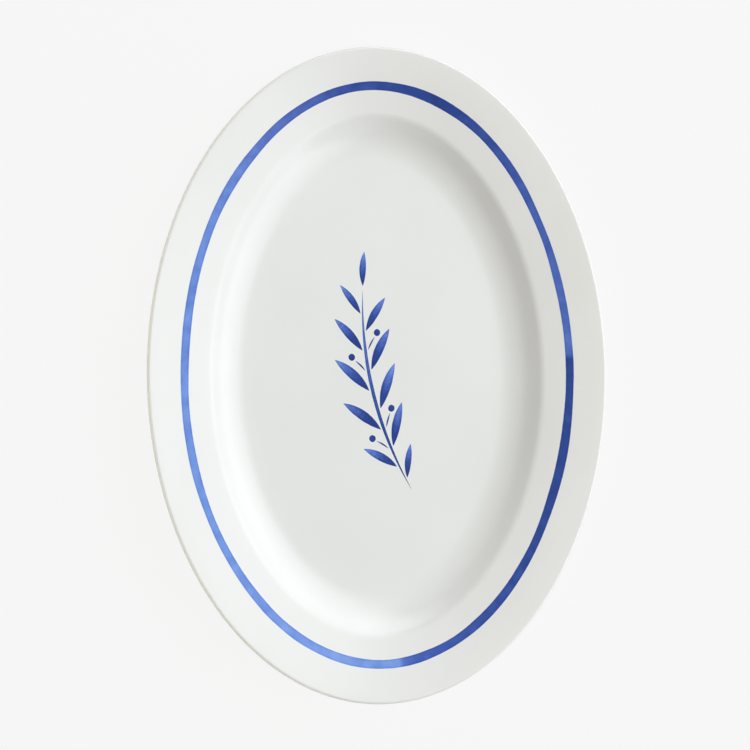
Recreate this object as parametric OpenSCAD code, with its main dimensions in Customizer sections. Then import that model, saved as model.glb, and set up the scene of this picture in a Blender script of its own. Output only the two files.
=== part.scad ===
// Oval serving platter: a pressed clay body with a sloped rim, a sunken well and an oval foot ring,
// a white glaze over it, and a blue line and a leafy sprig brushed into the glaze.
// It lies on its foot ring: +X along its length, +Y across it, +Z up, origin on the table at its centre.

/* [Oval] */
// Length over the rim
platter_l = 360; // [320:2:420]
// Width over the rim
platter_w = 270; // [250:2:300]

/* [Rim and well] */
// Thickness of the wall, glaze included
wall_t = 4.6; // [3.6:0.1:5.6]
// Thickness of the round lip, glaze included, to which the rim thins out
lip_t = 2.8; // [2:0.1:3.6]
// Width of the sloped rim, from the outer edge to the shoulder
rim_w = 34.5; // [30:0.5:38]
// Slope of the rim, down towards the well, in degrees
rim_slope = 13.5; // [8:0.5:18]
// Radius of the shoulder between rim and wall
shoulder_r = 11; // [8:0.5:16]
// Drop from the shoulder to the floor of the well
well_depth = 9.8; // [8.6:0.1:13]
// Steepest slope of the wall, in degrees
wall_slope = 35; // [30:0.5:39]
// Radius of the fillet between wall and floor
fillet_r = 30; // [20:0.5:34]

/* [Foot ring] */
// Height of the foot ring under the floor
foot_h = 3; // [2.4:0.1:5]
// Width of its bearing face
foot_w = 5; // [3:0.1:7]
// Distance from the floor's edge to the middle of the foot ring
foot_set = 5.5; // [4.6:0.1:10]
// Draft of its sides, in degrees
foot_draft = 15; // [5:1:20]
// Radius of the edges of its bearing face
foot_edge_r = 0.8; // [0.4:0.1:1]
// Height of the bare clay above the table, where the glaze was wiped off
foot_bare = 1.2; // [0.9:0.1:1.6]

/* [Glaze and painted line] */
// Thickness of the glaze
glaze_t = 0.4; // [0.3:0.05:0.6]
// Depth of the paint that sank into the glaze
paint_t = 0.2; // [0.1:0.05:0.25]
// Distance from the outer edge to the middle of the painted line
line_inset = 21.2; // [12:0.1:28]
// Width of the painted line
line_w = 4.8; // [2:0.1:8]

/* [Painted sprig] */
// Length of the stem from tip to tip
stem_l = 118; // [105:1:130]
// Rise of the stem's bow over the line between its tips
stem_bow = 9; // [5:0.5:14]
// Thickness of the stem at its middle
stem_w = 2.2; // [1.2:0.1:3]
// Turn of the sprig on the floor, in degrees
sprig_turn = 14; // [0:1:30]
// Length of the longest leaves
leaf_l = 27; // [20:0.5:30]
// Width of the longest leaves
leaf_w = 5.8; // [4:0.1:6.6]
// Lean of the leaves and the berry stalks off the stem, in degrees
leaf_lean = 36; // [32:1:45]
// Bare glaze left between one brush stroke and the next
stroke_gap = 0.7; // [0.4:0.1:1.2]
// Length of the berry stalks
stalk_l = 8.5; // [6:0.5:11]
// Thickness of the berry stalks
stalk_w = 1; // [0.6:0.1:1.4]
// Diameter of the berries
berry_d = 4; // [3:0.1:4.6]

/* [Hidden] */

$fn = 180;
// How far a cut runs past the face that it opens
overrun = 1;
// How far one arc of the oval laps over the next, so that they join at any size
joint_lap = 0.005;
// Steps in each rounded stretch of the section
lip_steps = 12;
bend_steps = 6;
edge_steps = 3;

// The oval follows an ellipse by five arcs in each quarter. One arc joins the next where the rim faces
// along these shares of X and Y. The first three radii are whole steps, and the last two close the quarter.
half_l = platter_l / 2;
half_w = platter_w / 2;
facing_shares = [[1, 0], [0.96, 0.28], [0.8, 0.6], [0.6, 0.8], [0.28, 0.96], [0, 1]];
radius_step = 0.5;
turns = [for (i = [0 : 4]) facing_shares[i + 1] - facing_shares[i]];
spans = [for (i = [0 : 4]) ellipse_point(facing_shares[i + 1]) - ellipse_point(facing_shares[i])];
free_radii = [for (i = [0 : 2])
    radius_step * round(spans[i] * turns[i] / (turns[i] * turns[i]) / radius_step)];
// What the last two arcs of a quarter still have to cover, from the third joint to the middle of the side
left = [-half_l, half_w] - free_radii[0] * turns[0] - free_radii[1] * turns[1] - free_radii[2] * turns[2];
last_two = [left[0] * turns[4][1] - left[1] * turns[4][0], turns[3][0] * left[1] - turns[3][1] * left[0]]
    / (turns[3][0] * turns[4][1] - turns[3][1] * turns[4][0]);
arc_radii = concat(free_radii, last_two);
// Where the line along each joint crosses the X axis, and a length that reaches past the rim from anywhere
crossings = [for (i = [0 : 4]) let (c = arc_centre(max(i - 1, 0)), n = facing_shares[i])
    i == 0 ? c : [c[0] - c[1] * n[0] / n[1], 0]];
past_rim = ceil(platter_l);

// The section, in distance inwards from the outer edge and height above the table
lip_r = lip_t / 2;
floor_z = foot_h + wall_t;
rim_run = (rim_w - lip_r * (1 + sin(rim_slope))) / cos(rim_slope);
wall_run = (well_depth - shoulder_r * (cos(rim_slope) - cos(wall_slope)) - fillet_r * (1 - cos(wall_slope)))
    / sin(wall_slope);
rim_normal = [sin(rim_slope), cos(rim_slope)];
rim_along = [cos(rim_slope), -sin(rim_slope)];
wall_normal = [sin(wall_slope), cos(wall_slope)];
wall_along = [cos(wall_slope), -sin(wall_slope)];
lip_c = [lip_r, floor_z + well_depth + rim_run * sin(rim_slope) - lip_r * cos(rim_slope)];
shoulder_c = lip_c + rim_run * rim_along + (lip_r - shoulder_r) * rim_normal;
fillet_c = shoulder_c + (shoulder_r + fillet_r) * wall_normal + wall_run * wall_along;
// The underside of the rim touches the round of the lip and that of the shoulder, which lie on its two sides
lip_to_shoulder = shoulder_c - lip_c;
under_slope = atan2(-lip_to_shoulder[1], lip_to_shoulder[0])
    - asin((lip_r + shoulder_r - wall_t) / norm(lip_to_shoulder));
foot_mid = fillet_c[0] + foot_set;
glaze_across = glaze_t / cos(foot_draft);

// The painted line's edges, as distances along the rim from where the lip ends
line_mid = (line_inset - lip_r * (1 + sin(rim_slope))) / cos(rim_slope);
line_out = line_mid - line_w / 2;
line_in = line_mid + line_w / 2;

// The sprig: where leaves and berry stalks leave the upper and the lower side of the stem, as shares of it
leaf_place_shares = [[-0.36, -0.17, 0.02, 0.21, 0.38], [-0.43, -0.265, -0.075, 0.115, 0.3]];
leaf_size_shares = [[0.84, 1, 1, 0.9, 0.74], [0.72, 0.94, 1, 0.95, 0.82]];
tip_leaf_size_share = 0.72;
stalk_place_shares = [[-0.265, 0.115], [-0.17, 0.21]];
stem_r = (stem_l * stem_l / 4 + stem_bow * stem_bow) / (2 * stem_bow);

// The ellipse's point where it faces along n
function ellipse_point(n) =
    [half_l * half_l * n[0], half_w * half_w * n[1]] / norm([half_l * n[0], half_w * n[1]]);
function arc_centre(i) = i == 0 ? [half_l - arc_radii[0], 0]
    : arc_centre(i - 1) - (arc_radii[i] - arc_radii[i - 1]) * facing_shares[i];

function arc(c, r, from, to, steps) =
    [for (i = [0 : steps]) let (a = from + (to - from) * i / steps) c + r * [cos(a), sin(a)]];
function turned_back(points) = [for (i = [len(points) - 1 : -1 : 0]) points[i]];
function rim_point(along, deep) = lip_c + (lip_r - deep) * rim_normal + along * rim_along;
function foot_half(z) = foot_w / 2 + z * tan(foot_draft);

// The upper face at a depth under the surface, from the floor out to the rim, and the lip round its edge
function floor_to_rim(deep, inner) = concat(
    [[inner, floor_z - deep]],
    arc(fillet_c, fillet_r + deep, 270, 270 - wall_slope, bend_steps),
    arc(shoulder_c, shoulder_r - deep, 90 - wall_slope, 90 - rim_slope, bend_steps));
function lip(deep) = arc(lip_c, lip_r - deep, 90 - rim_slope, 270 - under_slope, lip_steps);

// The underside at a depth under the surface, from the lip in to the floor's edge
function underside(deep) = concat(
    arc(shoulder_c, shoulder_r - wall_t + deep, 90 - under_slope, 90 - wall_slope, bend_steps),
    arc(fillet_c, fillet_r + wall_t - deep, 270 - wall_slope, 270, bend_steps));

// The painted line's groove in the rim, from its inner edge to its outer edge
function line_groove() = [rim_point(line_in, 0), rim_point(line_in, paint_t),
    rim_point(line_out, paint_t), rim_point(line_out, 0)];

// One bare edge of the bearing face, from its side down to the table: the outer edge is on side -1
function bearing_edge(side) =
    let (half_flat = foot_half(0) - foot_edge_r * tan(45 - foot_draft / 2))
    [for (p = arc([half_flat, foot_edge_r], foot_edge_r, -foot_draft, -90, edge_steps))
        [foot_mid + side * p[0], p[1]]];

function biscuit_section(inner) = concat(
    floor_to_rim(glaze_t, inner), lip(glaze_t), underside(glaze_t),
    [[foot_mid - foot_half(foot_h + glaze_t), foot_h + glaze_t]],
    bearing_edge(-1), turned_back(bearing_edge(1)),
    [[foot_mid + foot_half(foot_h + glaze_t), foot_h + glaze_t], [inner, foot_h + glaze_t]]);

function coat_section(inner) = concat(
    floor_to_rim(0, inner), line_groove(), lip(0), underside(0),
    [for (z = [foot_h, foot_bare]) [foot_mid - foot_half(z) - glaze_across, z]],
    [for (z = [foot_bare, foot_h + glaze_t]) [foot_mid - foot_half(z), z]],
    turned_back(underside(glaze_t)), turned_back(lip(glaze_t)), turned_back(floor_to_rim(glaze_t, inner)));

function base_section(inner) = concat(
    [[inner, foot_h]],
    [for (z = [foot_h, foot_bare]) [foot_mid + foot_half(z) + glaze_across, z]],
    [for (z = [foot_bare, foot_h + glaze_t]) [foot_mid + foot_half(z), z]],
    [[inner, foot_h + glaze_t]]);

// A section drawn with the rim's outer edge at x = 0 and the well at negative x
module section(points) {
    polygon([for (p = points) [-p[0], p[1]]]);
}

// Turns a section about the centre of arc i, kept to the plan between the joints at the arc's ends.
// The child reads $inner, how far in its section has to reach.
module arc_sector(i, plan) {
    reach = i == 0 ? arc_radii[0] : arc_radii[i] + arc_centre(i)[1] / facing_shares[i + 1][1] + overrun;
    intersection() {
        translate(arc_centre(i)) rotate_extrude() translate([arc_radii[i], 0])
            let ($inner = reach) children();
        translate([0, 0, -overrun]) linear_extrude(lip_c[1] + lip_r + 2 * overrun) polygon(plan);
    }
}

// A plan corner on the line along joint i, out from the X axis, with that line moved round the oval by shift
function corner(i, out, shift = 0) = crossings[i] + out * facing_shares[i]
    + shift * [-facing_shares[i][1], facing_shares[i][0]];
// The line along joint i, from a lap over the X axis to past the rim
function joint_line(i, shift = 0) =
    [corner(i, -joint_lap / facing_shares[i][1], shift), corner(i, past_rim, shift)];
function mirrored(points, x, y) = [for (p = points) [x * p[0], y * p[1]]];

// Sweeps a section round the oval: one end, one side and the arcs beside that end, then the other half.
// The first and the last of those three arcs lap over their neighbours.
module round_oval() {
    end_corner = corner(1, past_rim);
    side_line = joint_line(4);
    for (turn = [0, 180]) rotate(turn) {
        arc_sector(0, concat([crossings[1], end_corner, corner(0, past_rim)], mirrored([end_corner], 1, -1)))
            children();
        arc_sector(4, concat(side_line, mirrored(turned_back(side_line), -1, 1))) children();
        for (i = [1 : 3], flip = [0, 1]) mirror([0, flip, 0])
            let (shift = i == 2 ? 0 : joint_lap)
                arc_sector(i, concat(joint_line(i, -shift), turned_back(joint_line(i + 1, shift))))
                    children();
    }
}

// A stroke with two pointed ends, from the origin along +X
module stroke(length, width) {
    r = (length * length / 4 + width * width / 4) / width;
    translate([length / 2, 0]) intersection_for (side = [1, -1])
        translate([0, side * (r - width / 2)]) circle(r);
}

// A disc through both tips of the stem that rises to a bow over them
module bowed_disc(bow) {
    r = (stem_l * stem_l / 4 + bow * bow) / (2 * bow);
    translate([0, bow - r]) circle(r);
}

// Carries a stroke to the stem at a share of its length, on one side of it, leaning off it
module off_stem(place, side) {
    x = place * stem_l;
    half_t = stem_w / 2 * (1 - pow(2 * place, 2));
    translate([x, sqrt(stem_r * stem_r - x * x) - stem_r + stem_bow]) rotate(-asin(x / stem_r))
        translate([0, side * (half_t + stroke_gap)]) rotate(side * leaf_lean) children();
}

// Turns and centres the sprig on the floor
module sprig_plan() {
    rotate(sprig_turn) translate([-leaf_l * tip_leaf_size_share / 2, -stem_bow / 2]) children();
}

module stem_plan() {
    sprig_plan() {
        difference() {
            bowed_disc(stem_bow + stem_w / 2);
            bowed_disc(stem_bow - stem_w / 2);
        }
        for (row = [0, 1], place = stalk_place_shares[row])
            off_stem(place, 1 - 2 * row) stroke(stalk_l, stalk_w);
    }
}

module leaves_plan() {
    sprig_plan() {
        for (row = [0, 1], i = [0 : len(leaf_place_shares[row]) - 1])
            off_stem(leaf_place_shares[row][i], 1 - 2 * row)
                stroke(leaf_l * leaf_size_shares[row][i], leaf_w * leaf_size_shares[row][i]);
        translate([stem_l / 2 + stroke_gap, 0]) rotate(-asin(stem_l / 2 / stem_r))
            stroke(leaf_l * tip_leaf_size_share, leaf_w * tip_leaf_size_share);
    }
}

module berries_plan() {
    sprig_plan()
        for (row = [0, 1], place = stalk_place_shares[row])
            off_stem(place, 1 - 2 * row)
                translate([stalk_l + stroke_gap + berry_d / 2, 0]) circle(d = berry_d);
}

// Paint sunk into the glaze of the floor, flush with it or running out of it by rise
module in_floor(rise = 0) {
    translate([0, 0, floor_z - paint_t]) linear_extrude(paint_t + rise) children();
}

module biscuit_body() {
    color("#e9e3d6") round_oval() section(biscuit_section($inner));
}

module glaze_coat() {
    color("#f1f2ef") difference() {
        round_oval() section(coat_section($inner));
        in_floor(overrun) {
            stem_plan();
            leaves_plan();
            berries_plan();
        }
    }
}

module base_glaze() {
    color("#eff0ec") round_oval() section(base_section($inner));
}

module rim_line() {
    color("#2f4a9c") round_oval() section(line_groove());
}

module sprig_stem() {
    color("#2b4392") in_floor() stem_plan();
}

module sprig_leaves() {
    color("#3554ab") in_floor() leaves_plan();
}

module sprig_berries() {
    color("#2b4392") in_floor() berries_plan();
}

biscuit_body();
glaze_coat();
base_glaze();
rim_line();
sprig_stem();
sprig_leaves();
sprig_berries();
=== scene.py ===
import math

import bmesh
import bpy
from mathutils import Matrix, Vector


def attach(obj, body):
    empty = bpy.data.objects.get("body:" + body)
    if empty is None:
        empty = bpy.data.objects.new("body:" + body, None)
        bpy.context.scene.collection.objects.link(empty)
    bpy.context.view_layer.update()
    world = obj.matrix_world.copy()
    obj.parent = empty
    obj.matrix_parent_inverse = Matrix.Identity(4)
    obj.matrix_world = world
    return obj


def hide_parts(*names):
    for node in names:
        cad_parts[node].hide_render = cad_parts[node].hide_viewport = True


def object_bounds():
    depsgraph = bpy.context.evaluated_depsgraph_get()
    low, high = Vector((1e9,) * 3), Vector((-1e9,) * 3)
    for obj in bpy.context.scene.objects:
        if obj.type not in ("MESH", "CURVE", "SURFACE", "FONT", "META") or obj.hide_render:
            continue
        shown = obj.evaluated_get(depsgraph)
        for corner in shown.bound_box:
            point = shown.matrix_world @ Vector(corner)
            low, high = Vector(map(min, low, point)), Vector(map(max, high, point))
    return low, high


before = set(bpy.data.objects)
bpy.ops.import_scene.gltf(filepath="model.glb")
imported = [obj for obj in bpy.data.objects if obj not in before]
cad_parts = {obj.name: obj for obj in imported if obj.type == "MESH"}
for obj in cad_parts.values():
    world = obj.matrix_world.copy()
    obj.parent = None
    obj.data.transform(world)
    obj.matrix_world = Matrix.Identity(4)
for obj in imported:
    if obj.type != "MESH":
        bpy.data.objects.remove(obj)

cadLow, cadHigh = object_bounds()  # the solids' own box
scene = bpy.context.scene
hair = 0.00002  # how far the pieces keep inside that box
print("frame: solids loaded")


# Node helpers

def addNode(tree, kind, inputs=None, **settings):  # inputs by name or number, as values or as sockets
    node = tree.nodes.new(kind)
    for name, value in settings.items():
        setattr(node, name, value)
    for key, value in (inputs or {}).items():
        if isinstance(value, bpy.types.NodeSocket):
            tree.links.new(value, node.inputs[key])
        else:
            node.inputs[key].default_value = value
    return node


def calc(tree, operation, *values):
    return addNode(tree, "ShaderNodeMath", dict(enumerate(values)), operation=operation).outputs[0]


def times(tree, first, second):
    return calc(tree, "MULTIPLY", first, second)


def minus(tree, first, second):
    return calc(tree, "SUBTRACT", first, second)


def joinXYZ(tree, x=0.0, y=0.0, z=0.0):
    return addNode(tree, "ShaderNodeCombineXYZ", {0: x, 1: y, 2: z}).outputs[0]


def splitXYZ(tree, vector):
    return addNode(tree, "ShaderNodeSeparateXYZ", {0: vector}).outputs


def mapRange(tree, value, low, high, toLow=0.0, toHigh=1.0):
    ends = {"Value": value, "From Min": low, "From Max": high, "To Min": toLow, "To Max": toHigh}
    return addNode(tree, "ShaderNodeMapRange", ends, interpolation_type="SMOOTHSTEP").outputs[0]


def mixColour(tree, share, first, second):
    return addNode(tree, "ShaderNodeMix", {0: share, 6: first, 7: second}, data_type="RGBA").outputs[2]


def colourRamp(tree, value, stops):
    node = addNode(tree, "ShaderNodeValToRGB", {"Fac": value})
    elements = node.color_ramp.elements
    while len(elements) < len(stops):
        elements.new(1.0)
    for element, (place, colour) in zip(elements, stops):
        element.position = place
        element.color = colour
    return node.outputs[0]


def noise(tree, vector, size, detail=2.0, seed=0.0, roughness=0.5):  # size is the length of one wave
    scale = 1 / size if isinstance(size, float) else calc(tree, "DIVIDE", 1.0, size)
    ends = {"Vector": vector, "W": seed, "Scale": scale, "Detail": detail, "Roughness": roughness}
    return addNode(tree, "ShaderNodeTexNoise", ends, noise_dimensions="4D").outputs[0]


def shaderAttribute(tree, name):
    return addNode(tree, "ShaderNodeAttribute", attribute_name=name).outputs["Fac"]


def newTree(name, labels):  # a Geometry Nodes tree with named inputs
    tree = bpy.data.node_groups.new(name, "GeometryNodeTree")
    tree.interface.new_socket(name="Geometry", in_out="INPUT", socket_type="NodeSocketGeometry")
    for label, kind in labels.items():
        tree.interface.new_socket(name=label, in_out="INPUT", socket_type="NodeSocket" + kind)
    tree.interface.new_socket(name="Mesh", in_out="OUTPUT", socket_type="NodeSocketGeometry")
    return tree, tree.nodes.new("NodeGroupInput").outputs


def closeTree(tree, geometry, material):
    smooth = addNode(tree, "GeometryNodeSetShadeSmooth", {"Geometry": geometry})
    real = addNode(tree, "GeometryNodeRealizeInstances", {"Geometry": smooth.outputs[0]})
    painted = addNode(tree, "GeometryNodeSetMaterial", {"Geometry": real.outputs[0], "Material": material})
    addNode(tree, "NodeGroupOutput", {0: painted.outputs[0]})


def ownPosition(tree):
    return addNode(tree, "GeometryNodeInputPosition").outputs[0]


def moved(tree, geometry, **ends):
    return addNode(tree, "GeometryNodeTransform", {"Geometry": geometry, **ends}).outputs[0]


def setPosition(tree, geometry, **ends):
    return addNode(tree, "GeometryNodeSetPosition", {"Geometry": geometry, **ends}).outputs[0]


def mergeClose(tree, geometry, distance):
    ends = {"Geometry": geometry, "Distance": distance}
    return addNode(tree, "GeometryNodeMergeByDistance", ends).outputs[0]


def joined(tree, parts):
    node = addNode(tree, "GeometryNodeJoinGeometry")
    for part in parts:
        tree.links.new(part, node.inputs[0])
    return node.outputs[0]


def keepAttribute(tree, geometry, name, value, domain="POINT"):
    ends = {"Geometry": geometry, "Name": name, "Value": value}
    node = addNode(tree, "GeometryNodeStoreNamedAttribute", ends, data_type="FLOAT", domain=domain)
    return node.outputs[0]


def namedAttribute(tree, name):
    return addNode(tree, "GeometryNodeInputNamedAttribute", {"Name": name}, data_type="FLOAT").outputs[0]


def makePiece(name, points, attributes, tree, values):  # runs a tree on loose points and keeps the plain mesh
    seedMesh = bpy.data.meshes.new(name + "Points")
    seedMesh.from_pydata(points, [], [])
    for label, numbers in attributes.items():
        seedMesh.attributes.new(label, "FLOAT", "POINT").data.foreach_set("value", numbers)
    piece = bpy.data.objects.new(name, seedMesh)
    scene.collection.objects.link(piece)
    modifier = piece.modifiers.new("shape", "NODES")
    modifier.node_group = tree
    for item in tree.interface.items_tree:
        if item.in_out == "INPUT" and item.name in values:
            modifier[item.identifier] = values[item.name]
    graph = bpy.context.evaluated_depsgraph_get()
    plain = bpy.data.meshes.new_from_object(piece.evaluated_get(graph))
    piece.modifiers.remove(modifier)
    piece.data = plain
    plain.name = name
    work = bmesh.new()
    work.from_mesh(plain)
    bmesh.ops.recalc_face_normals(work, faces=work.faces)
    if work.calc_volume(signed=True) < 0:
        bmesh.ops.reverse_faces(work, faces=work.faces)
    work.to_mesh(plain)
    work.free()
    print("piece:", name, len(plain.polygons), "faces")
    return piece


def dress(piece, node):
    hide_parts(node)
    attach(piece, "root")


# Materials

def newMaterial(name):
    material = bpy.data.materials.new(name)
    material.use_nodes = True
    tree = material.node_tree
    shader = tree.nodes["Principled BSDF"]
    spot = addNode(tree, "ShaderNodeTexCoord").outputs["Object"]
    return material, tree, shader, spot


glazeFinish = {
    "white": (0.80, 0.806, 0.79, 1),
    "cloud": (0.778, 0.784, 0.764, 1),  # where the glaze lies a little thinner
    "cloudSize": 0.060,
    "cloudRange": (0.35, 0.7),
    "lip": (0.77, 0.77, 0.75, 1),  # glaze drawn thin on the lip
    "lipReach": 0.0016,
    "lipFull": 0.0006,
    "lipShare": 0.7,
    "lipRagged": 0.0008,
    "lipRaggedSize": 0.012,
    "pool": (0.76, 0.785, 0.765, 1),  # thicker glaze in the bend of the well
    "poolSet": 0.004,  # outwards from the floor's edge
    "poolReach": 0.010,
    "poolShare": 0.6,
    "peelSize": 0.0045,
    "peelDepth": 0.000012,
    "swellSize": 0.0225,
    "swellShare": 3.0,
    "roughness": 0.19,
    "wear": 0.05,  # added to the roughness in worn patches
    "wearSize": 0.035,
    "wearRange": (0.3, 0.75),
    "refraction": 1.52,
}


def glazeBump(tree, spot):  # the faint unevenness of fired glaze
    peel = noise(tree, spot, glazeFinish["peelSize"], detail=1.0, seed=3.0)
    swell = noise(tree, spot, glazeFinish["swellSize"], detail=1.0, seed=4.0)
    height = calc(tree, "MULTIPLY_ADD", swell, glazeFinish["swellShare"], peel)
    ends = {"Height": height, "Distance": glazeFinish["peelDepth"], "Strength": 1.0}
    return addNode(tree, "ShaderNodeBump", ends).outputs[0]


def glazeColour(tree, spot):
    patches = noise(tree, spot, glazeFinish["cloudSize"], detail=3.0, seed=1.0)
    cloud = mapRange(tree, patches, *glazeFinish["cloudRange"])
    colour = mixColour(tree, cloud, glazeFinish["white"], glazeFinish["cloud"])
    inward = shaderAttribute(tree, "inward")
    nearBend = calc(tree, "ABSOLUTE", minus(tree, inward, poolInward))
    pool = mapRange(tree, nearBend, glazeFinish["poolReach"], 0.0, 0.0, glazeFinish["poolShare"])
    colour = mixColour(tree, pool, colour, glazeFinish["pool"])
    uneven = noise(tree, spot, glazeFinish["lipRaggedSize"], seed=2.0)
    ragged = calc(tree, "MULTIPLY_ADD", uneven, glazeFinish["lipRagged"], inward)
    reach = glazeFinish["lipReach"]
    lip = mapRange(tree, ragged, reach, glazeFinish["lipFull"], 0.0, glazeFinish["lipShare"])
    return mixColour(tree, lip, colour, glazeFinish["lip"])


def whiteGlaze():
    material, tree, shader, spot = newMaterial("whiteGlaze")
    tree.links.new(glazeColour(tree, spot), shader.inputs["Base Color"])
    wear = noise(tree, spot, glazeFinish["wearSize"], seed=5.0)
    smooth = glazeFinish["roughness"]
    rough = mapRange(tree, wear, *glazeFinish["wearRange"], smooth, smooth + glazeFinish["wear"])
    tree.links.new(rough, shader.inputs["Roughness"])
    tree.links.new(glazeBump(tree, spot), shader.inputs["Normal"])
    shader.inputs["IOR"].default_value = glazeFinish["refraction"]
    return material


clayFinish = {
    "clay": (0.70, 0.64, 0.54, 1),
    "pale": (0.78, 0.73, 0.64, 1),
    "speck": (0.25, 0.19, 0.13, 1),
    "speckSize": 0.0016,
    "speckRange": (0.72, 0.78),
    "grainSize": 0.0011,
    "ringGap": 0.0007,  # fine turning lines left by wiping the foot
    "ringShare": 0.25,
    "relief": 0.00008,
    "reliefShare": 0.8,
    "roughness": 0.88,
}


def bareClay():
    material, tree, shader, spot = newMaterial("bareClay")
    grain = noise(tree, spot, clayFinish["grainSize"], detail=4.0, seed=6.0, roughness=0.7)
    colour = mixColour(tree, grain, clayFinish["clay"], clayFinish["pale"])
    dots = noise(tree, spot, clayFinish["speckSize"], detail=1.0, seed=7.0)
    speck = mapRange(tree, dots, *clayFinish["speckRange"])
    tree.links.new(mixColour(tree, speck, colour, clayFinish["speck"]), shader.inputs["Base Color"])
    turns = times(tree, shaderAttribute(tree, "inward"), 2 * math.pi / clayFinish["ringGap"])
    height = calc(tree, "MULTIPLY_ADD", calc(tree, "SINE", turns), clayFinish["ringShare"], grain)
    ends = {"Height": height, "Distance": clayFinish["relief"], "Strength": clayFinish["reliefShare"]}
    tree.links.new(addNode(tree, "ShaderNodeBump", ends).outputs[0], shader.inputs["Normal"])
    shader.inputs["Roughness"].default_value = clayFinish["roughness"]
    return material


cobaltFinish = {
    "tones": [  # pigment load, colour
        (0.00, (0.40, 0.53, 0.84, 1)),
        (0.20, (0.205, 0.355, 0.80, 1)),
        (0.35, (0.122, 0.250, 0.68, 1)),
        (0.50, (0.072, 0.152, 0.53, 1)),
        (0.65, (0.038, 0.096, 0.43, 1)),
        (0.80, (0.014, 0.055, 0.30, 1)),
        (1.00, (0.004, 0.032, 0.23, 1)),
    ],
    "edgeFade": 0.90,  # share of the half width where the stroke starts to thin out
    "edgeGrain": 0.0022,
    "ragged": 0.10,
    "roughness": 0.21,
    "sheen": 0.25,
    "lift": 0.00003,  # the film stands this far above the glaze
    "sink": 0.000005,  # and its edges this far below
    "depth": 0.00018,
    "edgePower": 6,  # the higher, the fuller the film is up to its edges
}


def cobaltPaint(name, loadNodes):  # loadNodes gives how heavily each spot is loaded with pigment, from 0 to 1
    material, tree, shader, spot = newMaterial(name)
    across = calc(tree, "ABSOLUTE", shaderAttribute(tree, "across"))
    colour = colourRamp(tree, loadNodes(tree, spot, across), cobaltFinish["tones"])
    uneven = minus(tree, noise(tree, spot, cobaltFinish["edgeGrain"], seed=8.0), 0.5)
    outwards = calc(tree, "MULTIPLY_ADD", uneven, cobaltFinish["ragged"], across)
    edge = mapRange(tree, outwards, cobaltFinish["edgeFade"], 1.0)
    tree.links.new(mixColour(tree, edge, colour, glazeFinish["white"]), shader.inputs["Base Color"])
    tree.links.new(glazeBump(tree, spot), shader.inputs["Normal"])
    shader.inputs["Roughness"].default_value = cobaltFinish["roughness"]
    shader.inputs["IOR"].default_value = glazeFinish["refraction"]
    shader.inputs["Specular IOR Level"].default_value = cobaltFinish["sheen"]
    return material


# The section: distances inwards from the outer edge and heights above the table, in metres and degrees

clayBody = {
    "wallThick": 0.0046,
    "lipThick": 0.0028,
    "rimWidth": 0.0345,
    "rimSlope": 13.5,
    "shoulderRadius": 0.011,
    "wellDepth": 0.0098,
    "wallSlope": 35,
    "filletRadius": 0.030,
    "footHeight": 0.003,
    "footWidth": 0.005,
    "footSet": 0.0055,
    "footDraft": 15,
    "footEdge": 0.0008,
    "footBare": 0.0012,
    "glazeThick": 0.0004,
    "waviness": 0.00009,  # how far hand work leaves the faces uneven
    "waveLength": 0.055,
    "trueLip": (0.004, 0.014),  # the waves grow between these distances from the edge
    "trueFoot": (0.0012, 0.0034),  # and between these heights
    "seed": 11.0,
    "around": 240,
    "floorRings": 10,
    "longest": 0.004,  # longest stretch of the section without a point
    "weld": 0.000001,  # points closer than this become one
}
arcSteps = {"fillet": 14, "shoulder": 10, "lip": 12, "underShoulder": 6, "underFillet": 8, "small": 6}

rimSlope = clayBody["rimSlope"]
wallSlope = clayBody["wallSlope"]
rimTilt = math.radians(rimSlope)
wallTilt = math.radians(wallSlope)
wallThick = clayBody["wallThick"]
glazeThick = clayBody["glazeThick"]
lipRadius = clayBody["lipThick"] / 2
shoulderRadius = clayBody["shoulderRadius"]
filletRadius = clayBody["filletRadius"]
footHeight = clayBody["footHeight"]
footDraft = clayBody["footDraft"]
floorHeight = footHeight + wallThick
underHeight = footHeight + glazeThick  # of the clay inside and outside the foot ring
rimRun = (clayBody["rimWidth"] - lipRadius * (1 + math.sin(rimTilt))) / math.cos(rimTilt)
wallRun = (clayBody["wellDepth"] - shoulderRadius * (math.cos(rimTilt) - math.cos(wallTilt))
           - filletRadius * (1 - math.cos(wallTilt))) / math.sin(wallTilt)
lipCentre = Vector((lipRadius, floorHeight + clayBody["wellDepth"]
                    + rimRun * math.sin(rimTilt) - lipRadius * math.cos(rimTilt)))
shoulderCentre = (lipCentre + rimRun * Vector((math.cos(rimTilt), -math.sin(rimTilt)))
                  + (lipRadius - shoulderRadius) * Vector((math.sin(rimTilt), math.cos(rimTilt))))
filletCentre = (shoulderCentre
                + (shoulderRadius + filletRadius) * Vector((math.sin(wallTilt), math.cos(wallTilt)))
                + wallRun * Vector((math.cos(wallTilt), -math.sin(wallTilt))))

# the rim's underside touches the lip's round and the shoulder's, so that the rim thins outwards
lipToShoulder = shoulderCentre - lipCentre
centresSlope = math.atan2(-lipToShoulder[1], lipToShoulder[0])
bothRadii = lipRadius + shoulderRadius - wallThick
underSlope = math.degrees(centresSlope - math.asin(bothRadii / lipToShoulder.length))

floorEdge = filletCentre[0]
footMiddle = floorEdge + clayBody["footSet"]
poolInward = floorEdge - glazeFinish["poolSet"]
halfLength = (cadHigh.x - cadLow.x) / 2 - hair
halfWidth = (cadHigh.y - cadLow.y) / 2 - hair
heightFit = (cadHigh.z - hair) / (lipCentre[1] + lipRadius)


def arcRun(centre, radius, start, end, steps):
    angles = [math.radians(start + (end - start) * i / steps) for i in range(steps + 1)]
    return [(centre[0] + radius * math.cos(a), centre[1] + radius * math.sin(a)) for a in angles]


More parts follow.
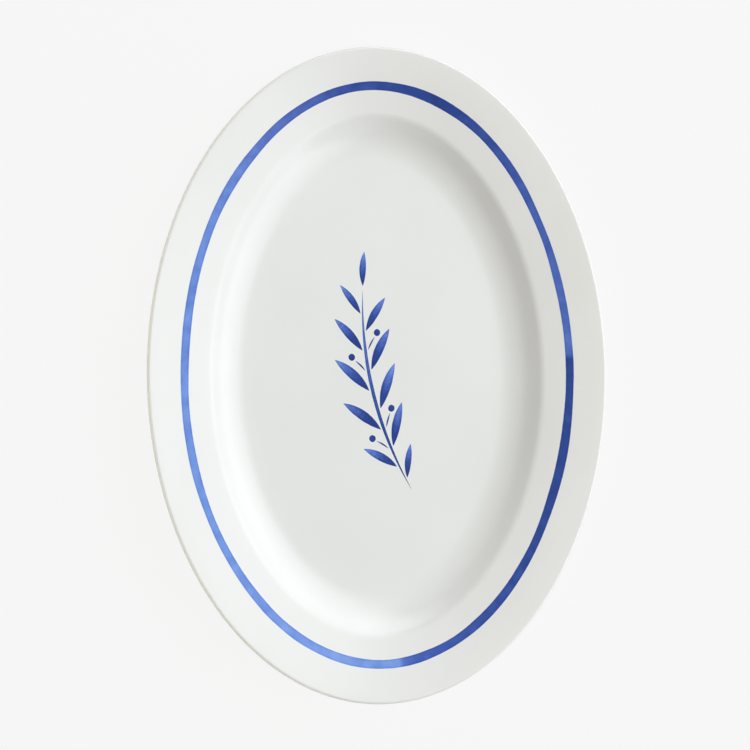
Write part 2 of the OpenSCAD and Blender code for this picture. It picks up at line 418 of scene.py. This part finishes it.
def fillGaps(points, longest):  # adds points on long straight stretches
    filled = [points[0]]
    for before, after in zip(points, points[1:]):
        count = max(1, math.ceil(math.dist(before, after) / longest))
        for i in range(1, count + 1):
            filled.append(tuple(b + (a - b) * i / count for b, a in zip(before, after)))
    return filled


def upperFace(deep):
    rising = arcRun(filletCentre, filletRadius + deep, 270, 270 - wallSlope, arcSteps["fillet"])
    return rising + arcRun(shoulderCentre, shoulderRadius - deep,
                           90 - wallSlope, 90 - rimSlope, arcSteps["shoulder"])


def lipFace(deep, fine=1):
    return arcRun(lipCentre, lipRadius - deep, 90 - rimSlope, 270 - underSlope, arcSteps["lip"] * fine)


def lowerFace(deep):
    turned = arcRun(shoulderCentre, shoulderRadius - wallThick + deep,
                    90 - underSlope, 90 - wallSlope, arcSteps["underShoulder"])
    return turned + arcRun(filletCentre, filletRadius + wallThick - deep,
                           270 - wallSlope, 270, arcSteps["underFillet"])


def footHalf(z):  # half the foot ring's width at a height
    return clayBody["footWidth"] / 2 + z * math.tan(math.radians(footDraft))


def rimHeight(inward):
    return (lipCentre[1] + lipRadius * math.cos(rimTilt)
            - (inward - lipRadius * (1 + math.sin(rimTilt))) * math.tan(rimTilt))


def easeStep(value, low, high):
    share = min(max((value - low) / (high - low), 0), 1)
    return share * share * (3 - 2 * share)


def waveWeight(inward, z):  # the lip and the bearing face stay true
    return easeStep(inward, *clayBody["trueLip"]) * easeStep(z, *clayBody["trueFoot"])


def floorRings(inward, z, count):  # rings of a flat floor from its centre, as shares of its edge
    return [(inward, i / count, z * heightFit) for i in range(count)]


def sectionPoints(run, longest):
    return [(s, 1.0, z * heightFit) for s, z in fillGaps(run, longest)]


# One tree sweeps any section round the oval

def handWave(tree, x, y, ends):  # how far the floor under a spot lies off true
    swell = noise(tree, joinXYZ(tree, x, y), ends["Wave length"], detail=1.0, seed=ends["Seed"])
    return times(tree, minus(tree, swell, 0.5), ends["Waviness"])


def ovalSweep():
    tree, ends = newTree("ovalSweep", {
        "Half length": "Float", "Half width": "Float", "Around": "Int", "Waviness": "Float",
        "Wave length": "Float", "Edge wobble": "Float", "Wobble length": "Float", "Drift": "Float",
        "Drift length": "Float", "Slope": "Float", "Seed": "Float", "Material": "Material"})
    section = ends["Geometry"]
    rows = addNode(tree, "GeometryNodeAttributeDomainSize", {0: section}).outputs["Point Count"]
    columns = calc(tree, "ADD", ends["Around"], 1)
    grid = addNode(tree, "GeometryNodeMeshGrid", {"Vertices X": columns, "Vertices Y": rows})
    index = addNode(tree, "GeometryNodeInputIndex").outputs[0]
    ring = calc(tree, "FLOOR", calc(tree, "DIVIDE", calc(tree, "ADD", index, 0.5), rows))
    row = minus(tree, index, times(tree, ring, rows))

    def onSection(value, kind):
        picked = {"Geometry": section, "Value": value, "Index": row}
        return addNode(tree, "GeometryNodeSampleIndex", picked, data_type=kind).outputs[0]

    inward, spread, height = splitXYZ(tree, onSection(ownPosition(tree), "FLOAT_VECTOR"))
    weight = onSection(namedAttribute(tree, "wave"), "FLOAT")
    across = onSection(namedAttribute(tree, "across"), "FLOAT")
    turn = times(tree, calc(tree, "DIVIDE", ring, ends["Around"]), 2 * math.pi)
    cosine = calc(tree, "COSINE", turn)
    sine = calc(tree, "SINE", turn)
    edgeX = times(tree, ends["Half length"], cosine)
    edgeY = times(tree, ends["Half width"], sine)
    outward = joinXYZ(tree, times(tree, ends["Half width"], cosine), times(tree, ends["Half length"], sine))
    facing = addNode(tree, "ShaderNodeVectorMath", {0: outward}, operation="NORMALIZE").outputs[0]
    faceX, faceY = splitXYZ(tree, facing)[:2]

    # a brushed line drifts as a whole, and each of its edges wanders by itself
    beside = joinXYZ(tree, edgeX, edgeY, calc(tree, "SIGN", across))
    wobble = minus(tree, noise(tree, beside, ends["Wobble length"], seed=ends["Seed"]), 0.5)
    wobble = times(tree, times(tree, wobble, ends["Edge wobble"]), calc(tree, "ABSOLUTE", across))
    slow = noise(tree, joinXYZ(tree, edgeX, edgeY), ends["Drift length"], detail=1.0, seed=ends["Seed"])
    wander = calc(tree, "MULTIPLY_ADD", minus(tree, slow, 0.5), ends["Drift"], wobble)
    inward = calc(tree, "ADD", inward, wander)
    height = minus(tree, height, times(tree, wander, ends["Slope"]))

    x = times(tree, minus(tree, edgeX, times(tree, faceX, inward)), spread)
    y = times(tree, minus(tree, edgeY, times(tree, faceY, inward)), spread)
    z = calc(tree, "MULTIPLY_ADD", handWave(tree, x, y, ends), weight, height)
    held = keepAttribute(tree, grid.outputs["Mesh"], "inward", inward)
    held = keepAttribute(tree, held, "across", across)
    shaped = setPosition(tree, held, Position=joinXYZ(tree, x, y, z))
    closeTree(tree, mergeClose(tree, shaped, clayBody["weld"]), ends["Material"])
    return tree


handValues = {
    "Waviness": 2 * clayBody["waviness"], "Wave length": clayBody["waveLength"], "Seed": clayBody["seed"]}
sweepTree = ovalSweep()


def sweepPiece(name, points, material, around, across=None, **brush):
    attributes = {
        "wave": [waveWeight(s, z) for s, spread, z in points],
        "across": across or [0.0] * len(points)}
    values = {"Half length": halfLength, "Half width": halfWidth, "Around": around, "Material": material}
    return makePiece(name, points, attributes, sweepTree, {**handValues, **values, **brush})


# The clay body, bare only on its foot ring

def bearingEdge(side):  # one rounded edge of the foot ring, from its side down to the table
    edge = clayBody["footEdge"]
    flat = footHalf(0) - edge * math.tan(math.radians(45 - footDraft / 2))
    rounded = arcRun((flat, edge), edge, -footDraft, -90, arcSteps["small"])
    return [(footMiddle + side * x, z) for x, z in rounded]


def claySection():
    footIn = footMiddle + footHalf(underHeight)
    footOut = footMiddle - footHalf(underHeight)
    run = (upperFace(glazeThick) + lipFace(glazeThick) + lowerFace(glazeThick) + [(footOut, underHeight)]
           + bearingEdge(-1) + bearingEdge(1)[::-1] + [(footIn, underHeight)])
    return (floorRings(floorEdge, floorHeight - glazeThick, clayBody["floorRings"])
            + sectionPoints(run, clayBody["longest"])
            + floorRings(footIn, underHeight, clayBody["floorRings"])[::-1])


clayPiece = sweepPiece("clayBody", claySection(), bareClay(), clayBody["around"])
dress(clayPiece, "biscuit_body")

# The white glaze over it, down to the bare foot

glazeSkin = {
    "bead": 0.0002,  # the rolled edge where the glaze ends
    "join": 0.0007,  # glaze gathered at the root of the foot
    "around": 360,
    "faceRings": 18,
    "insideRings": 8,
    "baseAround": 240,
    "baseRings": 12,
    "longest": 0.0035,
}
glazeMaterial = whiteGlaze()


def footSkin(side):  # the glazed side of the foot, from the underside down to its rolled edge
    skin = glazeThick / math.cos(math.radians(footDraft))
    low = clayBody["footBare"]
    join = glazeSkin["join"]
    bead = glazeSkin["bead"]
    tangent = join * math.tan(math.radians(45 - footDraft / 2))
    root = (footHalf(footHeight) + skin + tangent, footHeight - join)
    gathered = arcRun(root, join, 90, 180 + footDraft, arcSteps["small"])
    rolled = arcRun((footHalf(low) + skin / 2, low + bead), bead, 0, -180, arcSteps["small"])
    return [(footMiddle + side * x, z) for x, z in gathered + rolled]


def coatSection():
    outside = upperFace(0) + lipFace(0, fine=2) + lowerFace(0) + footSkin(-1)
    inside = ([(footMiddle - footHalf(underHeight), underHeight)] + lowerFace(glazeThick)[::-1]
              + lipFace(glazeThick)[::-1] + upperFace(glazeThick)[::-1])
    return (floorRings(floorEdge, floorHeight, glazeSkin["faceRings"])
            + sectionPoints(outside + inside, glazeSkin["longest"])
            + floorRings(floorEdge, floorHeight - glazeThick, glazeSkin["insideRings"])[::-1])


glazePiece = sweepPiece("whiteGlazeCoat", coatSection(), glazeMaterial, glazeSkin["around"])
dress(glazePiece, "glaze_coat")


def baseSection():
    clayEdge = footMiddle + footHalf(underHeight)
    skinRun = footSkin(1)[::-1]
    return (floorRings(clayEdge, underHeight, glazeSkin["insideRings"])
            + sectionPoints([(clayEdge, underHeight)] + skinRun, glazeSkin["longest"])
            + floorRings(skinRun[-1][0], footHeight, glazeSkin["baseRings"])[::-1])


basePiece = sweepPiece("whiteGlazeBase", baseSection(), glazeMaterial, glazeSkin["baseAround"])
dress(basePiece, "base_glaze")

# The brushed line round the rim

rimStroke = {
    "inset": 0.0213,
    "width": 0.0051,
    "wobble": 0.0022,
    "wobbleLength": 0.07,
    "drift": 0.0028,
    "driftLength": 0.11,
    "around": 720,
    "acrossSteps": 14,
    "strokes": [  # start and end in degrees round the oval, pigment load at each, how it falls between them
        (-15, -86, 0.95, 0.48, 0.55),
        (-86, -176, 0.82, 0.58, 3.0),
        (-15, 45, 0.83, 0.42, 1.8),
        (45, 184, 0.43, 0.24, 1.0),
    ],
    "strokeStops": 6,
    "strokeEnds": 0.004,  # share of a stroke in which its load passes into the next one's
    "streakSize": 0.0064,
    "streakShare": 0.35,
    "gathered": (0.45, 0.85),  # pigment gathers between these shares of the half width
    "gatheredShare": 0.06,
}


def lineSection():
    half = rimStroke["width"] * math.cos(rimTilt) / 2
    count = rimStroke["acrossSteps"]
    shares = [math.sin(math.pi * (i / count - 0.5)) for i in range(count + 1)]

    def point(share, depth):
        inward = rimStroke["inset"] + share * half
        edge = share ** cobaltFinish["edgePower"]
        height = rimHeight(inward) + depth * (1 - edge) - cobaltFinish["sink"] * edge
        return (inward, 1.0, height * heightFit)

    top = [point(share, cobaltFinish["lift"]) for share in shares]
    bottom = [point(share, -cobaltFinish["depth"]) for share in shares[::-1]]
    return top + bottom, shares + shares[::-1]


def lineStops():  # brush loads round the oval, as ramp stops
    stops = []
    count = rimStroke["strokeStops"]
    ends = rimStroke["strokeEnds"]
    for start, end, loadStart, loadEnd, fall in rimStroke["strokes"]:
        for i in range(count + 1):
            share = i / count
            angle = start + (end - start) * (ends + (1 - 2 * ends) * share)
            load = loadStart + (loadEnd - loadStart) * share ** fall
            place = ((angle + 180) % 360) / 360
            stops.append((place, (load, load, load, 1)))
    return sorted(stops)


def lineLoad(tree, spot, across):
    x, y = splitXYZ(tree, spot)[:2]
    turn = calc(tree, "ARCTAN2", times(tree, y, halfLength / halfWidth), x)
    share = calc(tree, "MULTIPLY_ADD", turn, 0.5 / math.pi, 0.5)  # 0 and 1 both lie on the -X end
    load = colourRamp(tree, share, lineStops())
    streaks = minus(tree, noise(tree, spot, rimStroke["streakSize"], detail=3.0, seed=9.0), 0.5)
    load = calc(tree, "MULTIPLY_ADD", streaks, rimStroke["streakShare"], load)
    gathered = mapRange(tree, across, *rimStroke["gathered"])
    return calc(tree, "MULTIPLY_ADD", gathered, rimStroke["gatheredShare"], load)


linePoints, lineAcross = lineSection()
lineMaterial = cobaltPaint("cobaltLine", lineLoad)
linePiece = sweepPiece("rimBrushLine", linePoints, lineMaterial, rimStroke["around"], lineAcross, **{
    "Edge wobble": rimStroke["wobble"], "Wobble length": rimStroke["wobbleLength"],
    "Drift": rimStroke["drift"], "Drift length": rimStroke["driftLength"],
    "Slope": math.tan(rimTilt) * heightFit})
dress(linePiece, "rim_line")

# The leafy sprig brushed on the floor of the well

sprig = {
    "stemLength": 0.118,
    "stemBow": 0.009,
    "stemWidth": 0.0022,
    "stemLoad": (0.98, 0.62),  # pigment at the start and the end of a stroke
    "turn": 14,
    "leafLength": 0.027,
    "leafWidth": 0.0058,
    "leafBow": 0.0007,
    "leafLoad": (1.0, 0.34),
    "leafPlaces": {1: (-0.36, -0.17, 0.02, 0.21, 0.38), -1: (-0.43, -0.265, -0.075, 0.115, 0.3)},
    "leafSizes": {1: (0.84, 1, 1, 0.9, 0.74), -1: (0.72, 0.94, 1, 0.95, 0.82)},
    "tipSize": 0.72,
    "lean": 36,
    "gap": 0.0007,
    "stalkLength": 0.0085,
    "stalkWidth": 0.001,
    "stalkBow": 0.0003,
    "stalkPlaces": {1: (-0.265, 0.115), -1: (-0.17, 0.21)},
    "berrySize": 0.004,
    "berryLoad": (0.98, 0.78),
    "ragged": 0.16,
    "raggedSize": 0.006,
    "raggedAcross": 0.01,
    "pointed": 3.0,  # the higher, the sooner a stroke's film is full behind its points
    "alongPoints": 49,
    "acrossPoints": 11,
    "weld": 0.0000004,
    "streakSize": 0.0016,
    "streakShare": 0.45,
    "doseShare": 0.22,  # how far the strokes differ in load
    "doseSeed": 5,
    "gathered": (0.3, 0.85),
    "gatheredShare": 0.14,
}


def strokeShape(tree, ends, length, width, bow):  # a thin pointed film of paint along +X
    layers = []
    for side in (1, -1):
        grid = addNode(tree, "GeometryNodeMeshGrid", {
            "Size X": 1.0, "Size Y": 1.0,
            "Vertices X": sprig["alongPoints"], "Vertices Y": sprig["acrossPoints"]})
        u, v = splitXYZ(tree, ownPosition(tree))[:2]
        along = calc(tree, "MULTIPLY_ADD", calc(tree, "SINE", times(tree, u, math.pi)), 0.5, 0.5)
        across = calc(tree, "SINE", times(tree, v, math.pi))

        # two arcs that meet in points, with ragged edges
        squares = calc(tree, "MULTIPLY_ADD", width, width, times(tree, length, length))
        radius = calc(tree, "DIVIDE", squares, times(tree, width, 4.0))
        fromMiddle = times(tree, minus(tree, along, 0.5), length)
        rise = minus(tree, times(tree, radius, radius), times(tree, fromMiddle, fromMiddle))
        reach = calc(tree, "SQRT", calc(tree, "MAXIMUM", rise, 0.0))
        half = minus(tree, reach, minus(tree, radius, times(tree, width, 0.5)))
        x = times(tree, along, length)
        beside = joinXYZ(tree, x, times(tree, across, sprig["raggedAcross"]))
        uneven = minus(tree, noise(tree, beside, sprig["raggedSize"], seed=ends["Seed"]), 0.5)
        half = times(tree, half, calc(tree, "MULTIPLY_ADD", uneven, ends["Ragged"], 1.0))
        arch = times(tree, times(tree, along, minus(tree, 1.0, along)), 4.0)
        y = calc(tree, "MULTIPLY_ADD", across, half, times(tree, arch, bow))

        # full over most of its width, thin at its edges and points
        edge = calc(tree, "POWER", calc(tree, "ABSOLUTE", across), cobaltFinish["edgePower"])
        points = calc(tree, "MINIMUM", times(tree, arch, sprig["pointed"]), 1.0)
        crown = times(tree, minus(tree, 1.0, edge), points)
        if side == 1:
            thick = calc(tree, "ADD", ends["Lift"], ends["Sink"])
        else:
            thick = minus(tree, ends["Sink"], ends["Depth"])
        z = minus(tree, times(tree, crown, thick), ends["Sink"])
        held = keepAttribute(tree, grid.outputs["Mesh"], "along", along)
        held = keepAttribute(tree, held, "across", across)
        layer = setPosition(tree, held, Position=joinXYZ(tree, x, y, z))
        if side == -1:
            layer = addNode(tree, "GeometryNodeFlipFaces", {"Mesh": layer}).outputs[0]
        layers.append(layer)
    return mergeClose(tree, joined(tree, layers), sprig["weld"])


def sprigStrokes():
    tree, ends = newTree("sprigStrokes", {
        "Stem length": "Float", "Stem bow": "Float", "Stem width": "Float", "Gap": "Float", "Lean": "Float",
        "Lead": "Float", "Stroke length": "Float", "Stroke width": "Float", "Stroke bow": "Float",
        "Turn": "Float", "Shift": "Float", "Floor height": "Float", "Lift": "Float", "Sink": "Float",
        "Depth": "Float", "Ragged": "Float", "Waviness": "Float", "Wave length": "Float", "Seed": "Float",
        "With stem": "Bool", "Material": "Material"})
    place, side, size = (namedAttribute(tree, name) for name in ("place", "side", "size"))
    stemLength = ends["Stem length"]
    bow = ends["Stem bow"]

    # where a stroke starts beside the bowed stem, and which way it leans
    quarter = times(tree, stemLength, times(tree, stemLength, 0.25))
    radius = calc(tree, "DIVIDE", calc(tree, "MULTIPLY_ADD", bow, bow, quarter), times(tree, bow, 2.0))
    x = times(tree, place, stemLength)
    drop = minus(tree, times(tree, radius, radius), times(tree, x, x))
    y = calc(tree, "ADD", minus(tree, calc(tree, "SQRT", drop), radius), bow)
    slope = times(tree, calc(tree, "ARCSINE", calc(tree, "DIVIDE", x, radius)), -1.0)
    fromMiddle = calc(tree, "ABSOLUTE", times(tree, place, 2.0))
    taper = minus(tree, 1.0, calc(tree, "POWER", fromMiddle, 2.0))
    off = calc(tree, "MULTIPLY_ADD", times(tree, ends["Stem width"], 0.5), taper, ends["Gap"])
    off = times(tree, off, side)
    angle = calc(tree, "MULTIPLY_ADD", side, ends["Lean"], slope)
    atTip = minus(tree, 1.0, calc(tree, "ABSOLUTE", side))  # the leaf at the tip has no side
    lead = calc(tree, "MULTIPLY_ADD", atTip, ends["Gap"], ends["Lead"])
    x = minus(tree, x, times(tree, calc(tree, "SINE", slope), off))
    y = calc(tree, "MULTIPLY_ADD", calc(tree, "COSINE", slope), off, y)
    x = calc(tree, "MULTIPLY_ADD", calc(tree, "COSINE", angle), lead, x)
    y = calc(tree, "MULTIPLY_ADD", calc(tree, "SINE", angle), lead, y)
    starts = setPosition(tree, ends["Geometry"], Position=joinXYZ(tree, x, y))

    kinds = []  # one stroke bowed each way
    for bend in (-1.0, 1.0):
        strokeBow = times(tree, ends["Stroke bow"], bend)
        stroke = strokeShape(tree, ends, ends["Stroke length"], ends["Stroke width"], strokeBow)
        kinds.append(addNode(tree, "GeometryNodeGeometryToInstance", {0: stroke}).outputs[0])
    whichWay = addNode(tree, "FunctionNodeCompare", {0: side, 1: 0.0}, operation="GREATER_THAN").outputs[0]
    placed = addNode(tree, "GeometryNodeInstanceOnPoints", {
        "Points": starts, "Instance": joined(tree, kinds), "Pick Instance": True, "Instance Index": whichWay,
        "Rotation": joinXYZ(tree, z=angle), "Scale": joinXYZ(tree, size, size, 1.0)}).outputs[0]
    dose = addNode(tree, "FunctionNodeRandomValue", {"Seed": sprig["doseSeed"]}, data_type="FLOAT").outputs[1]
    strokes = keepAttribute(tree, placed, "dose", dose, domain="INSTANCE")

    stem = strokeShape(tree, ends, stemLength, ends["Stem width"], bow)
    stem = moved(tree, stem, Translation=joinXYZ(tree, times(tree, stemLength, -0.5)))
    choice = {"Switch": ends["With stem"], "True": stem}
    chosen = addNode(tree, "GeometryNodeSwitch", choice, input_type="GEOMETRY").outputs[0]
    whole = joined(tree, [strokes, chosen])
    real = addNode(tree, "GeometryNodeRealizeInstances", {"Geometry": whole}).outputs[0]

    # laid on the floor of the well, along its hand waves
    laid = moved(tree, real, Translation=joinXYZ(tree, ends["Shift"], times(tree, bow, -0.5)))
    laid = moved(tree, laid, Translation=joinXYZ(tree, z=ends["Floor height"]),
                 Rotation=joinXYZ(tree, z=ends["Turn"]))
    x, y = splitXYZ(tree, ownPosition(tree))[:2]
    laid = setPosition(tree, laid, Offset=joinXYZ(tree, z=handWave(tree, x, y, ends)))
    closeTree(tree, laid, ends["Material"])
    return tree


def strokeLoad(heavy, light):  # a stroke starts loaded and runs lighter towards its end
    def nodes(tree, spot, across):
        load = mapRange(tree, shaderAttribute(tree, "along"), 0.0, 1.0, heavy, light)
        dose = minus(tree, shaderAttribute(tree, "dose"), 0.5)
        load = calc(tree, "MULTIPLY_ADD", dose, sprig["doseShare"], load)
        streaks = minus(tree, noise(tree, spot, sprig["streakSize"], detail=3.0, seed=10.0), 0.5)
        load = calc(tree, "MULTIPLY_ADD", streaks, sprig["streakShare"], load)
        gathered = mapRange(tree, across, *sprig["gathered"])
        return calc(tree, "MULTIPLY_ADD", gathered, sprig["gatheredShare"], load)
    return nodes


sprigTree = sprigStrokes()
sprigValues = {
    "Stem length": sprig["stemLength"], "Stem bow": sprig["stemBow"], "Stem width": sprig["stemWidth"],
    "Gap": sprig["gap"], "Lean": math.radians(sprig["lean"]), "Turn": math.radians(sprig["turn"]),
    "Shift": -sprig["leafLength"] * sprig["tipSize"] / 2, "Floor height": floorHeight * heightFit,
    "Lift": cobaltFinish["lift"], "Sink": cobaltFinish["sink"], "Depth": cobaltFinish["depth"],
    "Ragged": sprig["ragged"], **handValues}


# marks give each stroke's place along the stem, the side it grows on and its size
def sprigPiece(name, marks, material, length, width, bow, lead=0.0, withStem=False):
    attributes = {}
    for i, label in enumerate(("place", "side", "size")):
        attributes[label] = [float(mark[i]) for mark in marks]
    values = {
        "Stroke length": length, "Stroke width": width, "Stroke bow": bow, "Lead": lead,
        "With stem": withStem, "Material": material}
    return makePiece(name, [(0, 0, 0)] * len(marks), attributes, sprigTree, {**sprigValues, **values})


stalkMarks = [(place, side, 1) for side, places in sprig["stalkPlaces"].items() for place in places]
leafMarks = [(place, side, size) for side in (1, -1)
             for place, size in zip(sprig["leafPlaces"][side], sprig["leafSizes"][side])]
leafMarks.append((0.5, 0, sprig["tipSize"]))  # at the end of the stem

stemPiece = sprigPiece(
    "sprigStemStrokes", stalkMarks, cobaltPaint("cobaltStem", strokeLoad(*sprig["stemLoad"])),
    sprig["stalkLength"], sprig["stalkWidth"], sprig["stalkBow"], withStem=True)
dress(stemPiece, "sprig_stem")
leafPiece = sprigPiece(
    "sprigLeafStrokes", leafMarks, cobaltPaint("cobaltLeaf", strokeLoad(*sprig["leafLoad"])),
    sprig["leafLength"], sprig["leafWidth"], sprig["leafBow"])
dress(leafPiece, "sprig_leaves")
berryPiece = sprigPiece(
    "sprigBerryDots", stalkMarks, cobaltPaint("cobaltBerry", strokeLoad(*sprig["berryLoad"])),
    sprig["berrySize"], sprig["berrySize"], 0.0, lead=sprig["stalkLength"] + sprig["gap"])
dress(berryPiece, "sprig_berries")

# Floor, light and camera

studio = {
    "floorSize": 8.0,
    "backdrop": 0.935,  # how pale the world looks, directly and in reflections
    "floorGlow": 1.0,  # how pale the floor looks, apart from its light and shadow
    "shadowShare": 0.14,  # share of its look that is left to light and shadow
    "floorColour": (0.50, 0.50, 0.495, 1),
    "bounce": 0.75,  # light that the table throws back at the object from below
    "ambient": 0.015,
    "ambientTint": (1.0, 0.96, 0.88, 1),
    "distance": 2.5,
    "tints": {"cool": (0.885, 0.94, 1.0), "warm": (1.0, 0.95, 0.70), "soft": (1.0, 0.955, 0.885)},
    # name, tint, bearing from the photo's right towards its top, elevation, width, height, glow, mirrored
    "panels": [
        ("windowLow", "cool", 12, 20, 4.6, 0.9, 1.76, True),
        ("windowHigh", "cool", 12, 46, 4.0, 1.4, 1.86, True),
        ("windowUp", "cool", 75, 25, 2.0, 1.2, 2.30, True),
        ("windowDown", "cool", 315, 25, 2.0, 1.2, 0.74, True),
        ("lowFill", "warm", 190, 1.2, 4.0, 0.1, 24.0, False),
        ("ceilingFill", "soft", 0, 88, 2.5, 2.5, 2.04, False),
    ],
}


def seenPlainly(tree):  # by the camera, or mirrored in the glaze
    rays = addNode(tree, "ShaderNodeLightPath").outputs
    mirrored = calc(tree, "MAXIMUM", rays["Is Glossy Ray"], rays["Is Transmission Ray"])
    return calc(tree, "MAXIMUM", rays["Is Camera Ray"], mirrored)


def paleFloor():
    material = bpy.data.materials.new("paleFloor")
    material.use_nodes = True
    tree = material.node_tree
    tree.nodes.clear()
    glow = addNode(tree, "ShaderNodeEmission", {"Color": (1, 1, 1, 1), "Strength": studio["floorGlow"]})
    lit = addNode(tree, "ShaderNodeBsdfDiffuse", {"Color": studio["floorColour"]})
    seen = seenPlainly(tree)
    below = times(tree, minus(tree, 1.0, seen), studio["bounce"])
    bounce = addNode(tree, "ShaderNodeEmission", {"Color": (1, 1, 1, 1), "Strength": below})
    table = addNode(tree, "ShaderNodeAddShader", {0: lit.outputs[0], 1: bounce.outputs[0]})
    share = times(tree, seen, 1 - studio["shadowShare"])
    mixed = addNode(tree, "ShaderNodeMixShader", {0: share, 1: table.outputs[0], 2: glow.outputs[0]})
    addNode(tree, "ShaderNodeOutputMaterial", {0: mixed.outputs[0]})
    reach = studio["floorSize"] / 2
    level = cadLow.z - hair
    corners = [(x * reach, y * reach, level) for x, y in ((-1, -1), (1, -1), (1, 1), (-1, 1))]
    mesh = bpy.data.meshes.new("studioFloor")
    mesh.from_pydata(corners, [], [(0, 1, 2, 3)])
    mesh.materials.append(material)
    floor = bpy.data.objects.new("studioFloor", mesh)
    scene.collection.objects.link(floor)


def softWorld():
    world = bpy.data.worlds.new("softWorld")
    world.use_nodes = True
    tree = world.node_tree
    tree.nodes.clear()
    dim = {"Color": studio["ambientTint"], "Strength": studio["ambient"]}
    room = addNode(tree, "ShaderNodeBackground", dim)
    pale = addNode(tree, "ShaderNodeBackground", {"Color": (1, 1, 1, 1), "Strength": studio["backdrop"]})
    seen = seenPlainly(tree)
    mixed = addNode(tree, "ShaderNodeMixShader", {0: seen, 1: room.outputs[0], 2: pale.outputs[0]})
    addNode(tree, "ShaderNodeOutputWorld", {0: mixed.outputs[0]})
    scene.world = world


def fromPhoto(right, up, out):  # the photo's right, up and towards-the-viewer axes, lying on the table
    return Vector((up, -right, out))


def addPanel(name, tint, bearing, elevation, width, height, glow, mirrored):
    lamp = bpy.data.lights.new(name, "AREA")
    lamp.shape = "RECTANGLE"
    lamp.size = width
    lamp.size_y = height
    lamp.energy = glow * math.pi * width * height
    lamp.color = studio["tints"][tint]
    around = math.radians(bearing)
    above = math.radians(elevation)
    level = math.cos(above)
    way = fromPhoto(math.cos(around) * level, math.sin(around) * level, math.sin(above))
    panel = bpy.data.objects.new(name, lamp)
    panel.location = way * studio["distance"]
    panel.rotation_euler = way.to_track_quat("Z", "Y").to_euler()
    panel.visible_glossy = mirrored
    scene.collection.objects.link(panel)


paleFloor()
softWorld()
for panel in studio["panels"]:
    addPanel(*panel)
print("studio: floor, world and panels")

viewpoint = {  # fitted to the photo's rim and painted line
    "distance": 1.0,
    "tiltAcross": 21.23,
    "tiltAlong": -0.10,
    "roll": 0.79,
    "pixelsPerMetre": 1784.5,
    "centrePixel": (371.7, 375.5),
    "framePixels": 750,
    "sensorWidth": 36,
    "nearest": 0.01,
}


def addCamera():
    across, along, roll = (math.radians(viewpoint[key]) for key in ("tiltAcross", "tiltAlong", "roll"))
    flatRight = Vector((math.cos(across), 0, math.sin(across)))
    flatBack = Vector((-math.sin(across), 0, math.cos(across)))
    flatUp = Vector((0, math.cos(along), 0)) - math.sin(along) * flatBack
    back = fromPhoto(*(Vector((0, math.sin(along), 0)) + math.cos(along) * flatBack))
    right = fromPhoto(*(math.cos(roll) * flatRight - math.sin(roll) * flatUp))
    up = fromPhoto(*(math.sin(roll) * flatRight + math.cos(roll) * flatUp))
    place = back * viewpoint["distance"]
    focal = viewpoint["pixelsPerMetre"] * viewpoint["distance"]
    middle = viewpoint["framePixels"] / 2
    offX = (viewpoint["centrePixel"][0] - middle) / focal
    offY = (middle - viewpoint["centrePixel"][1]) / focal
    aim = (back + offX * right + offY * up).normalized()  # turned until the centre falls on its pixel
    side = (right - offX * back).normalized()
    side = (side - side.dot(aim) * aim).normalized()
    top = aim.cross(side)
    lens = bpy.data.cameras.new("photoCamera")
    lens.sensor_width = viewpoint["sensorWidth"]
    lens.lens = lens.sensor_width * focal / viewpoint["framePixels"]
    lens.clip_start = viewpoint["nearest"]
    camera = bpy.data.objects.new("photoCamera", lens)
    camera.matrix_world = Matrix((
        (side.x, top.x, aim.x, place.x), (side.y, top.y, aim.y, place.y),
        (side.z, top.z, aim.z, place.z), (0, 0, 0, 1)))
    scene.collection.objects.link(camera)
    scene.camera = camera


addCamera()
scene.view_settings.view_transform = "Standard"
print("camera: in place")
